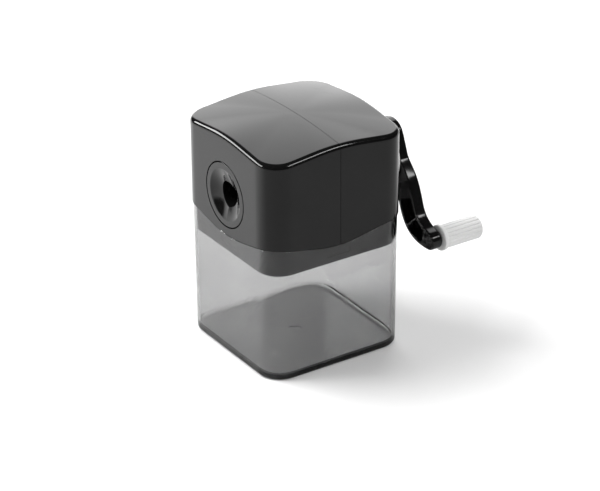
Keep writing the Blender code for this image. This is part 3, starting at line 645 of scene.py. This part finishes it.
def make_crank():
    spacing = 0.55 * MM
    outline = merge(resample(hub_outline(), spacing), resample(arm_band(0, 1, 0, True), spacing))
    outline = relax(resample(outline, spacing), 10)
    edge = 0.5 * MM
    loops = [standing(inward(outline, -x), CRANK_FRONT + edge + y)
             for x, y in arc((-edge, 0), edge, -90, 0, 4)]
    loops += [standing(inward(outline, -x), CRANK_BACK - CRANK_ROUND + y)
              for x, y in arc((-CRANK_ROUND, 0), CRANK_ROUND, 0, 90, 8)]
    item = skin("crank_body", loops)
    floor_y = CRANK_BACK - CRANK_SKIN
    recess_radius, recess_depth = PIN_HEAD_RECESS
    screw_radius, screw_depth = SCREW_RECESS
    cut(item,
        pocket("upper_pocket", *UPPER_POCKET, floor_y), pocket("lower_pocket", *LOWER_POCKET, floor_y),
        rod("pin_head_recess", recess_radius, (KNOB_X, CRANK_FRONT - MM, KNOB_Z),
            (KNOB_X, CRANK_FRONT + recess_depth, KNOB_Z)),
        rod("pin_hole", KNOB_BORE, (KNOB_X, CRANK_FRONT, KNOB_Z), (KNOB_X, CRANK_BACK + MM, KNOB_Z)),
        rod("shaft_bore", SHAFT_BORE, (0, CRANK_FRONT - MM, PENCIL_Z), (0, SHAFT_BORE_END, PENCIL_Z)),
        rod("screw_hole", HOLE_RADIUS, (0, SCREW_HOLE_START, PENCIL_Z), (0, CRANK_BACK + MM, PENCIL_Z)),
        rod("screw_recess", screw_radius, (0, CRANK_BACK - screw_depth, PENCIL_Z),
            (0, CRANK_BACK + MM, PENCIL_Z)))
    soften(item, 0.2 * MM)
    return stand_in(item, "crank", "crank_plastic", "crank_arm")


# ----------------------------------------------------------------- fasteners

def screw_mesh(length, head_height=1.7 * MM):
    """Pan-head screw along +Z with a helical thread and a cross recess. Its head's top is at z = 0."""
    count, per_pitch, pitch = 32, 10, 0.8 * MM
    shank, thread, head = 1.3 * MM, 0.22 * MM, 2.7 * MM
    under = -head_height
    steps = int((length - head_height) / pitch * per_pitch)
    loops = []
    for step in range(steps + 1):
        z = under - pitch / per_pitch * (steps - step)
        tip = min(1.0, 0.7 + 0.3 * step / per_pitch)
        loop = []
        for i in range(count):
            phase = (step / per_pitch - i / count) % 1
            radius = (shank - thread * abs(2 * phase - 1) ** 0.7) * tip
            angle = 2 * math.pi * i / count
            loop.append((radius * math.cos(angle), radius * math.sin(angle), z))
        loops.append(loop)
    profile = [(head - 0.1 * MM, under), (head, under + 0.1 * MM), (head, under + 0.45 * head_height)]
    profile += [(head * math.cos(a), under + head_height * (0.45 + 0.55 * math.sin(a)))
                for a in (math.radians(15 * i) for i in range(1, 6))]
    loops += [[(radius * math.cos(2 * math.pi * i / count), radius * math.sin(2 * math.pi * i / count), z)
               for i in range(count)] for radius, z in profile]
    item = skin("screw_blank", loops)
    arm, half, deep = 1.45 * MM, 0.32 * MM, 0.9 * MM
    cut(item, box("cross_a", (-arm, -half, -deep), (arm, half, MM)),
        box("cross_b", (-half, -arm, -deep), (half, arm, MM)))
    mesh = item.data
    bpy.data.objects.remove(item)
    return mesh


def make_screws():
    """Each packed screw is shown by a threaded one in its own box, head the way it faces."""
    facing = {"case": Vector((0, 0, -1)), "frame": Vector((0, 0, 1)), "crank": Vector((0, 1, 0))}
    meshes = {}
    for node in sorted(frame["nodes"]):
        family = node.split("_screw")[0]
        if node == family:
            continue
        low, high = (Vector(corner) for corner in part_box(node))
        axis = facing[family]
        length = abs((high - low).dot(axis))
        if family not in meshes:
            meshes[family] = screw_mesh(length)
        item = bpy.data.objects.new(f"{node}_threaded", meshes[family].copy())
        bpy.context.scene.collection.objects.link(item)
        centre = (low + high) / 2
        item.matrix_world = (Matrix.Translation(centre + axis * length / 2)
                             @ UP.rotation_difference(axis).to_matrix().to_4x4())
        smooth(item)
        item.data.materials.append(FINISHES["screw_steel"])
        stand_in(item, "crank" if family == "crank" else "head", "screw_steel", node)


# ------------------------------------------------------------------ finishes

class Finish:
    """A Principled material whose colour, roughness and relief come from patterns in object space."""

    def __init__(self, name, roughness=0.3, metallic=0.0, ior=1.5):
        self.material = bpy.data.materials.new(name)
        self.material.use_nodes = True
        self.tree = self.material.node_tree
        self.shader = self.tree.nodes["Principled BSDF"]
        self.shader.inputs["Roughness"].default_value = roughness
        self.shader.inputs["Metallic"].default_value = metallic
        self.shader.inputs["IOR"].default_value = ior
        self.place = self.node("ShaderNodeTexCoord").outputs["Object"]

    def node(self, kind, **values):
        made = self.tree.nodes.new(kind)
        for key, value in values.items():
            setattr(made, key, value)
        return made

    def link(self, source, target):
        self.tree.links.new(source, target)

    def stretched(self, stretch):
        mapping = self.node("ShaderNodeMapping")
        mapping.inputs["Scale"].default_value = stretch
        self.link(self.place, mapping.inputs["Vector"])
        return mapping.outputs["Vector"]

    def noise(self, scale, detail=3.0, stretch=None, roughness=0.5):
        pattern = self.node("ShaderNodeTexNoise")
        pattern.inputs["Scale"].default_value = scale
        pattern.inputs["Detail"].default_value = detail
        pattern.inputs["Roughness"].default_value = roughness
        self.link(self.stretched(stretch) if stretch else self.place, pattern.inputs["Vector"])
        return pattern.outputs["Fac"]

    def cells(self, scale):
        pattern = self.node("ShaderNodeTexVoronoi")
        pattern.inputs["Scale"].default_value = scale
        self.link(self.place, pattern.inputs["Vector"])
        return pattern.outputs["Distance"]

    def rings(self, scale, direction="Y"):
        """Fine turning marks round an axis that runs through the pencil's line."""
        mapping = self.node("ShaderNodeMapping")
        mapping.inputs["Location"].default_value = (0, 0, -PENCIL_Z)
        self.link(self.place, mapping.inputs["Vector"])
        pattern = self.node("ShaderNodeTexWave", wave_type="RINGS", rings_direction=direction)
        pattern.inputs["Scale"].default_value = scale
        pattern.inputs["Distortion"].default_value = 0.6
        self.link(mapping.outputs["Vector"], pattern.inputs["Vector"])
        return pattern.outputs["Fac"]

    def spread(self, source, low, high, start=0.35, end=0.65):
        """The pattern between start and end becomes low to high."""
        ramp = self.node("ShaderNodeMapRange")
        for socket, value in (("From Min", start), ("From Max", end), ("To Min", low), ("To Max", high)):
            ramp.inputs[socket].default_value = value
        self.link(source, ramp.inputs["Value"])
        return ramp.outputs["Result"]

    def math(self, operation, first, second):
        step = self.node("ShaderNodeMath", operation=operation)
        for socket, value in zip(step.inputs, (first, second)):
            if isinstance(value, (int, float)):
                socket.default_value = value
            else:
                self.link(value, socket)
        return step.outputs["Value"]

    def colour(self, source, dark, light):
        mix = self.node("ShaderNodeMix", data_type="RGBA")
        self.link(source, mix.inputs["Factor"])
        colours = [socket for socket in mix.inputs if socket.type == "RGBA"]
        for socket, value in zip(colours, (dark, light)):
            socket.default_value = (*value, 1.0)
        output = next(socket for socket in mix.outputs if socket.type == "RGBA")
        self.link(output, self.shader.inputs["Base Color"])

    def roughness(self, source):
        self.link(source, self.shader.inputs["Roughness"])

    def relief(self, source, height, strength=1.0, previous=None):
        bump = self.node("ShaderNodeBump")
        bump.inputs["Distance"].default_value = height
        bump.inputs["Strength"].default_value = strength
        self.link(source, bump.inputs["Height"])
        if previous is not None:
            self.link(previous, bump.inputs["Normal"])
        self.link(bump.outputs["Normal"], self.shader.inputs["Normal"])
        return bump.outputs["Normal"]


def gloss_black(name, level, shine):
    """Polished black moulding: a faint mould ripple, handling haze and a few hairline rubs."""
    finish = Finish(name, ior=1.4)
    grain = finish.noise(45, 4)
    finish.colour(finish.spread(grain, 0, 1), (level * 0.8,) * 3, (level * 1.3,) * 3)
    haze = finish.spread(finish.noise(28, 5, roughness=0.65), shine, shine + 0.05)
    rubs = finish.spread(finish.noise(60, 2, stretch=(1, 1.6, 26)), 0, 0.10, start=0.66, end=0.72)
    finish.roughness(finish.math("ADD", haze, rubs))
    ripple = finish.relief(finish.noise(130, 1), 0.02 * MM, 0.25)
    finish.relief(finish.noise(2600, 2), 0.002 * MM, 0.2, ripple)
    return finish.material


def satin_black(name, level):
    """Black moulding with the fine spark-eroded texture of an inner part."""
    finish = Finish(name, ior=1.33)
    finish.colour(finish.spread(finish.noise(70, 4), 0, 1), (level * 0.8,) * 3, (level * 1.4,) * 3)
    finish.roughness(finish.spread(finish.noise(300, 4), 0.28, 0.42))
    finish.relief(finish.noise(1800, 3), 0.01 * MM, 0.4)
    return finish.material


def satin_grey(name):
    """Light grey moulding with a fine even grain and slight colour flow."""
    finish = Finish(name, ior=1.48)
    flow = finish.noise(55, 4, stretch=(1, 0.35, 1))
    finish.colour(finish.spread(flow, 0, 1), (0.65, 0.65, 0.65), (0.74, 0.74, 0.735))
    finish.roughness(finish.spread(finish.noise(420, 3), 0.32, 0.46))
    coarse = finish.relief(finish.noise(900, 2), 0.012 * MM, 0.35)
    finish.relief(finish.noise(3500, 2), 0.006 * MM, 0.4, coarse)
    return finish.material


def smoke_clear(name):
    """Smoke-tinted clear moulding. Its body takes up light, and lamps shine through it."""
    finish = Finish(name, ior=1.49)
    finish.shader.inputs["Transmission Weight"].default_value = 1.0
    flow = finish.noise(26, 3, stretch=(1.5, 1.5, 0.25))
    finish.colour(finish.spread(flow, 0, 1), (0.90, 0.90, 0.90), (0.96, 0.96, 0.96))
    finish.roughness(finish.spread(finish.noise(90, 4), 0.015, 0.05))
    finish.relief(finish.noise(60, 1, stretch=(1, 1, 0.3)), 0.03 * MM, 0.12)
    output = finish.tree.nodes["Material Output"]
    lamps = finish.node("ShaderNodeBsdfTransparent")
    lamps.inputs["Color"].default_value = (LAMP_THROUGH_SMOKE,) * 3 + (1,)
    path = finish.node("ShaderNodeLightPath")
    mix = finish.node("ShaderNodeMixShader")
    finish.link(path.outputs["Is Shadow Ray"], mix.inputs["Fac"])
    finish.link(finish.shader.outputs["BSDF"], mix.inputs[1])
    finish.link(lamps.outputs["BSDF"], mix.inputs[2])
    finish.link(mix.outputs["Shader"], output.inputs["Surface"])
    tint = finish.node("ShaderNodeVolumeAbsorption")
    tint.inputs["Color"].default_value = (0, 0, 0, 1)
    tint.inputs["Density"].default_value = SMOKE_DENSITY
    finish.link(tint.outputs["Volume"], output.inputs["Volume"])
    return finish.material


def moulded_grey(name):
    """Dark grey glass-filled plastic of the mechanism frame."""
    finish = Finish(name, ior=1.48)
    fibres = finish.noise(500, 5, stretch=(1, 0.2, 1), roughness=0.7)
    finish.colour(finish.spread(fibres, 0, 1), (0.075, 0.075, 0.077), (0.13, 0.13, 0.13))
    finish.roughness(finish.spread(finish.noise(260, 3), 0.4, 0.6))
    finish.relief(finish.cells(900), 0.015 * MM, 0.4)
    return finish.material


def turned_metal(name, dark, light, rough, marks=900, mark_height=0.006 * MM):
    """Machined metal with turning marks round the pencil's line and light smears of oil."""
    finish = Finish(name, metallic=1.0)
    smear = finish.noise(110, 5, roughness=0.65)
    finish.colour(finish.spread(smear, 0, 1), dark, light)
    rings = finish.rings(marks)
    finish.roughness(finish.math("ADD", finish.spread(smear, rough, rough + 0.14),
                                 finish.math("MULTIPLY", rings, 0.06)))
    finish.relief(rings, mark_height, 0.5)
    return finish.material


def plated_screw(name):
    finish = Finish(name, metallic=1.0)
    spots = finish.noise(900, 4)
    finish.colour(finish.spread(spots, 0, 1), (0.42, 0.42, 0.43), (0.58, 0.58, 0.60))
    finish.roughness(finish.spread(finish.noise(1500, 3), 0.22, 0.42))
    finish.relief(spots, 0.006 * MM, 0.4)
    return finish.material


def cast_metal(name):
    finish = Finish(name, metallic=1.0)
    skin_noise = finish.noise(700, 6, roughness=0.7)
    finish.colour(finish.spread(finish.noise(120, 4), 0, 1), (0.30, 0.30, 0.31), (0.48, 0.48, 0.49))
    finish.roughness(finish.spread(skin_noise, 0.35, 0.6))
    finish.relief(skin_noise, 0.03 * MM, 0.5)
    return finish.material


FINISHES = {
    "bin_plastic": smoke_clear("smoke_clear"),
    "frame_plastic": satin_black("satin_black", 0.008),
    "case_plastic": gloss_black("gloss_black", 0.004, 0.07),
    "guide_plastic": gloss_black("gloss_black_dish", 0.004, 0.06),
    "crank_plastic": gloss_black("gloss_black_crank", 0.004, 0.08),
    "mechanism_plastic": moulded_grey("moulded_grey"),
    "grey_plastic": satin_grey("satin_light_grey"),
    "gear_steel": turned_metal("gear_steel", (0.40, 0.40, 0.41), (0.58, 0.58, 0.60), 0.22),
    "shaft_steel": turned_metal("shaft_steel", (0.46, 0.46, 0.47), (0.62, 0.62, 0.63), 0.16, 1400),
    "cutter_steel": turned_metal("cutter_steel", (0.30, 0.30, 0.31), (0.50, 0.50, 0.52), 0.2, 1200),
    "bush_brass": turned_metal("bush_brass", (0.50, 0.37, 0.16), (0.66, 0.52, 0.26), 0.22),
    "screw_steel": plated_screw("plated_steel"),
    "carrier_casting": cast_metal("cast_aluminium"),
}


def finish_packed_nodes():
    """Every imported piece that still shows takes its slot's finish."""
    slots = {entry["node"]: entry["material_slot"] for entry in frame["record"]["subparts"]}
    for node, item in frame["nodes"].items():
        for place in item.material_slots:
            place.material = FINISHES[slots[node]]


# -------------------------------------------------------------------- studio

def make_floor():
    """Pale paper. Painted shade: in reflections only, its right half turns dark, so the body mirrors a
    darker floor there.
    """
    bm = bmesh.new()
    bmesh.ops.create_circle(bm, cap_ends=True, segments=96, radius=FLOOR_RADIUS)
    floor = finish_mesh(bm, "studio_floor")
    finish = Finish("studio_paper", ior=1.3)
    path = finish.node("ShaderNodeLightPath")
    mirrored = finish.math("MULTIPLY", path.outputs["Is Glossy Ray"], path.outputs["Is Reflection Ray"])
    across = finish.node("ShaderNodeSeparateXYZ")
    finish.link(finish.place, across.inputs["Vector"])
    # Painted shade: to glossy reflection rays the floor's right half turns dark, and no card lies there.
    # The paper value below holds both the paper's own grain and this painted shade.
    right = finish.spread(across.outputs["X"], 0, 1, *MIRRORED_SHADE_EDGE)
    painted_shade = finish.math("MULTIPLY", mirrored, right)
    paper = finish.math("SUBTRACT", finish.spread(finish.noise(6, 4), 0.94, 1), painted_shade)
    finish.colour(paper, (MIRRORED_SHADE,) * 3, (PAPER,) * 3)
    finish.roughness(finish.spread(finish.noise(40, 3), 0.7, 0.85))
    floor.data.materials.append(finish.material)


def softbox(name, azimuth, elevation, distance, width, height, radiance, mirrored=True, shining=True):
    """A panel light that faces the body. Azimuth is measured from +X towards +Y, in degrees."""
    lamp = bpy.data.lights.new(name, "AREA")
    lamp.shape = "RECTANGLE"
    lamp.size = width
    lamp.size_y = height
    lamp.energy = radiance * math.pi * width * height
    item = bpy.data.objects.new(name, lamp)
    bpy.context.scene.collection.objects.link(item)
    a, e = math.radians(azimuth), math.radians(elevation)
    towards = Vector((math.cos(a) * math.cos(e), math.sin(a) * math.cos(e), math.sin(e)))
    item.location = LAMP_TARGET + towards * distance
    item.rotation_euler = towards.to_track_quat("Z", "Y").to_euler()
    item.visible_glossy = mirrored
    item.visible_diffuse = shining
    item.visible_camera = False
    return item


class Sky:
    """World light: dark, with one broad soft glow behind the body, and pale past the floor's edge."""

    def __init__(self):
        self.world = bpy.data.worlds.new("studio")
        self.world.use_nodes = True
        self.tree = self.world.node_tree
        direction = self.tree.nodes.new("ShaderNodeTexCoord").outputs["Generated"]
        self.parts = self.tree.nodes.new("ShaderNodeSeparateXYZ")
        self.tree.links.new(direction, self.parts.inputs["Vector"])

    def math(self, operation, *values):
        step = self.tree.nodes.new("ShaderNodeMath")
        step.operation = operation
        for socket, value in zip(step.inputs, values):
            if isinstance(value, (int, float)):
                socket.default_value = value
            else:
                self.tree.links.new(value, socket)
        return step.outputs["Value"]

    def ramp(self, source, start, end, low=0.0, high=1.0):
        ramp = self.tree.nodes.new("ShaderNodeMapRange")
        ramp.interpolation_type = "SMOOTHSTEP"
        for socket, value in (("From Min", start), ("From Max", end), ("To Min", low), ("To Max", high)):
            ramp.inputs[socket].default_value = value
        self.tree.links.new(source, ramp.inputs["Value"])
        return ramp.outputs["Result"]

    def glow(self, azimuth, half_width, edge, low_level, high_level, top):
        """A soft-edged panel of sky between the horizon and top, angles in radians."""
        x, y, z = (self.parts.outputs[axis] for axis in "XYZ")
        turned_x = self.math("ADD", self.math("MULTIPLY", x, math.cos(azimuth)),
                             self.math("MULTIPLY", y, math.sin(azimuth)))
        turned_y = self.math("SUBTRACT", self.math("MULTIPLY", y, math.cos(azimuth)),
                             self.math("MULTIPLY", x, math.sin(azimuth)))
        aside = self.math("ABSOLUTE", self.math("ARCTAN2", turned_y, turned_x))
        across = self.ramp(aside, half_width, half_width + edge, 1, 0)
        full_height = math.sin(math.radians(35))
        level = self.ramp(z, 0, full_height, low_level, high_level)
        roof = self.ramp(z, math.sin(top), math.sin(top + edge), 1, 0)
        return self.math("MULTIPLY", self.math("MULTIPLY", across, level), roof)

    def finish(self, glow, base, fill, pale):
        """Mirrors see base outside the glow, fill lights matt surfaces, and the camera sees pale."""
        path = self.tree.nodes.new("ShaderNodeLightPath")
        matt = self.math("SUBTRACT", 1, path.outputs["Is Glossy Ray"])
        lit = self.math("ADD", self.math("ADD", glow, base), self.math("MULTIPLY", matt, fill))
        seen = path.outputs["Is Camera Ray"]
        strength = self.math("ADD", self.math("MULTIPLY", lit, self.math("SUBTRACT", 1, seen)),
                             self.math("MULTIPLY", seen, pale))
        self.tree.links.new(strength, self.tree.nodes["Background"].inputs["Strength"])
        self.tree.nodes["Background"].inputs["Color"].default_value = (1, 1, 1, 1)
        bpy.context.scene.world = self.world


def make_lights():
    softbox("left_strip", azimuth=231, elevation=24, distance=1.5, width=1.6, height=0.42,
            radiance=15, shining=False)
    softbox("right_strip", azimuth=28, elevation=42, distance=1.5, width=0.75, height=0.28, radiance=13)
    softbox("overhead", azimuth=225, elevation=52, distance=1.2, width=0.8, height=0.8,
            radiance=10.5, mirrored=False)
    sky = Sky()
    glow = sky.glow(azimuth=math.radians(146), half_width=math.radians(20), edge=math.radians(10),
                    low_level=2.1, high_level=2.5, top=math.radians(48))
    sky.finish(glow, SKY_BASE, SKY_FILL, SKY_PALE)


def make_camera():
    sin_a, cos_a = math.sin(VIEW_AZIMUTH), math.cos(VIEW_AZIMUTH)
    sin_e, cos_e = math.sin(VIEW_ELEVATION), math.cos(VIEW_ELEVATION)
    back = Vector((sin_a * cos_e, -cos_a * cos_e, sin_e))
    right = UP.cross(back).normalized()
    above = back.cross(right)
    turn = Matrix((right, above, back)).transposed() @ Matrix.Rotation(VIEW_ROLL, 3, "Z")
    data = bpy.data.cameras.new("camera")
    data.lens = LENS
    data.sensor_width = SENSOR
    data.clip_start = 0.01
    camera = bpy.data.objects.new("camera", data)
    bpy.context.scene.collection.objects.link(camera)
    camera.matrix_world = Matrix.Translation(VIEW_POINT) @ turn.to_4x4()
    bpy.context.scene.camera = camera


def main():
    finish_packed_nodes()
    made = {
        "bin_plastic": [make_bin()],
        "frame_plastic": [make_skirt()],
        "case_plastic": [make_case("front", -1), make_case("rear", 1)],
        "guide_plastic": [make_guide()],
        "grey_plastic": [make_collar(), make_knob()],
        "crank_plastic": [make_crank()],
    }
    for slot, pieces in made.items():
        for piece in pieces:
            piece.data.materials.clear()
            piece.data.materials.append(FINISHES[slot])
    make_screws()
    make_floor()
    make_lights()
    make_camera()
    bpy.context.scene.view_settings.view_transform = "Standard"


main()
